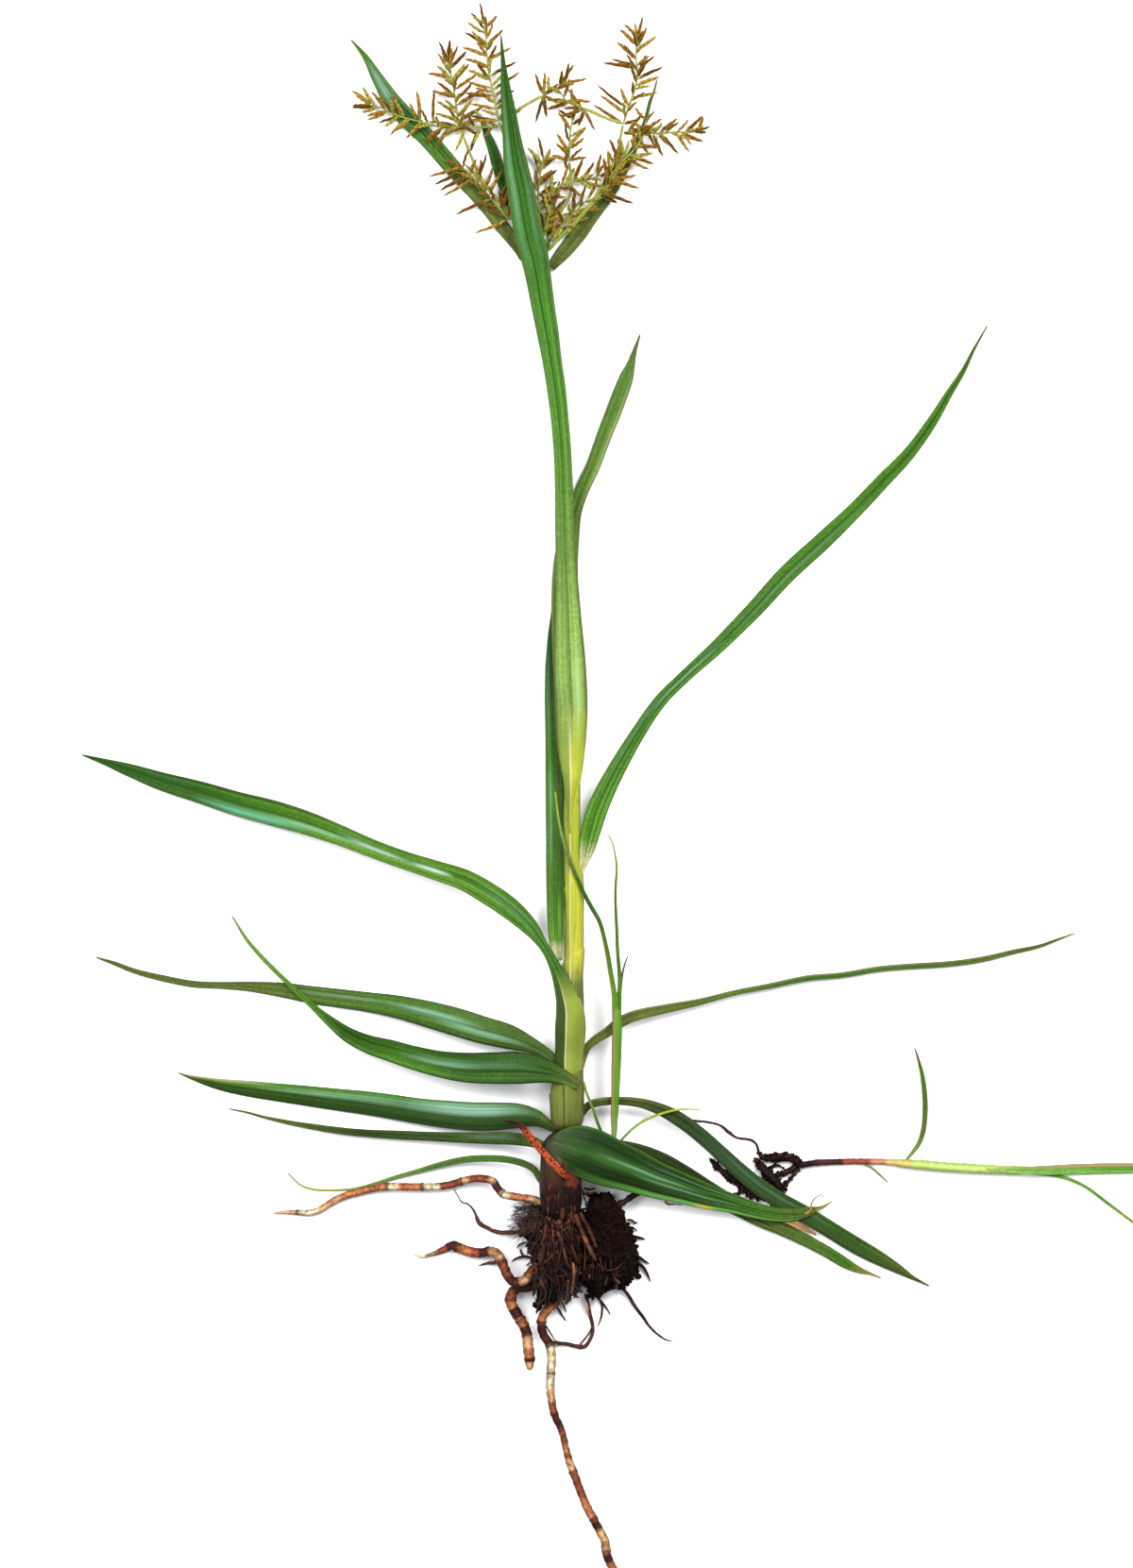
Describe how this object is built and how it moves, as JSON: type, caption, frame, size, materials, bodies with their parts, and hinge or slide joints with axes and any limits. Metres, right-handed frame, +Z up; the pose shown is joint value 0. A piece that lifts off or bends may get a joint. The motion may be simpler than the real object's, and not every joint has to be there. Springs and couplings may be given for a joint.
{
  "type": "tiger nut sedge clump",
  "caption": "Uprooted tiger nut sedge lying flat: sheathed stem, long leaves, spiky flower head, soil-caked roots, ringed rhizomes and side plantlets.",
  "frame": {"origin": "on the flat underside of the root mass, under the crown's root end, in the plane the plant lies on", "axes": "+Y along the stem from the roots towards the flower head, +Z up out of the plane the plant lies on, +X to the right seen from above"},
  "size_m": [0.3971, 0.5641, 0.0211],
  "materials": {
    "green_leaf": "satin, veined",
    "pale_leaf": "satin, veined",
    "stem": "satin, ribbed",
    "spikelets": "dry, scaly",
    "crown": "fibrous, matt",
    "roots_and_soil": "crumbly, matt",
    "rhizome": "ringed, half matt",
    "dry_scale": "papery, matt"
  },
  "bodies": {
    "root": {"long_leaf": "green_leaf", "upright_leaf": "green_leaf", "leaf_upper_right": "green_leaf", "leaf_upper_left": "green_leaf", "leaf_mid_left": "green_leaf", "leaf_curved_left": "green_leaf", "leaf_mid_right": "green_leaf", "leaf_low_left": "green_leaf", "leaf_narrow_left": "green_leaf", "leaf_thin_left": "green_leaf", "leaf_low_right": "green_leaf", "leaf_broad_right": "green_leaf", "leaf_hidden_right": "green_leaf", "bract_left": "green_leaf", "bract_inner": "green_leaf", "bract_right": "green_leaf", "bract_thread": "green_leaf", "side_leaf_long": "green_leaf", "side_leaf_upright": "green_leaf", "side_leaf_short": "green_leaf", "runner_leaf_up": "green_leaf", "runner_leaf_small": "green_leaf", "runner_leaf_low": "green_leaf", "flag_leaf": "pale_leaf", "side_leaf_pale": "pale_leaf", "side_strand": "pale_leaf", "runner_leaf_end": "pale_leaf", "side_shoot": "pale_leaf", "runner_shoot": "pale_leaf", "sheathed_stem": "stem", "culm": "stem", "spikes_left": "spikelets", "spikes_tall": "spikelets", "spikes_centre": "spikelets", "spikes_right": "spikelets", "crown": "crown", "root_mass": "roots_and_soil", "soil_clump": "roots_and_soil", "rhizome_left": "rhizome", "rhizome_hooked": "rhizome", "rhizome_stub": "rhizome", "rhizome_long": "rhizome", "root_loop": "rhizome", "root_thin_left": "rhizome", "root_thin_right": "rhizome", "root_tuft": "rhizome", "runner": "rhizome", "runner_root": "rhizome", "dry_scale": "dry_scale"}
  },
  "joints": []
}
